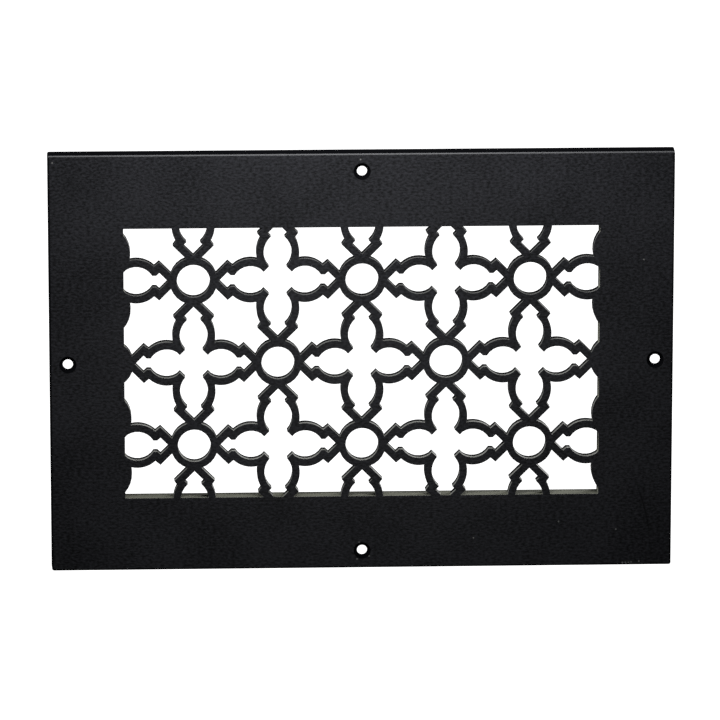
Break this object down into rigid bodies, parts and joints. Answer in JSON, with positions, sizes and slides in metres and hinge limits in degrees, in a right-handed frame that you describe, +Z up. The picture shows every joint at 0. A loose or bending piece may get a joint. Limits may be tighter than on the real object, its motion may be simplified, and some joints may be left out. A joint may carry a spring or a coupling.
{
  "type": "decorative vent cover",
  "caption": "Flat rectangular vent cover with a plain border, pierced gothic fretwork of rings and flowers, and countersunk screw holes in its border.",
  "frame": {"origin": "middle of the back plane, where the rims lie against the wall", "axes": "+Z up the cover's short side, +X along its long side to the right as seen from the front, +Y into the wall, so the decorated front faces -Y"},
  "size_m": [0.3174, 0.0105, 0.216],
  "materials": {
    "black_paint": "satin black powder coat with a fine pebbled texture, over a thin casting"
  },
  "bodies": {
    "root": {"vent_cover": "black_paint"}
  },
  "joints": []
}
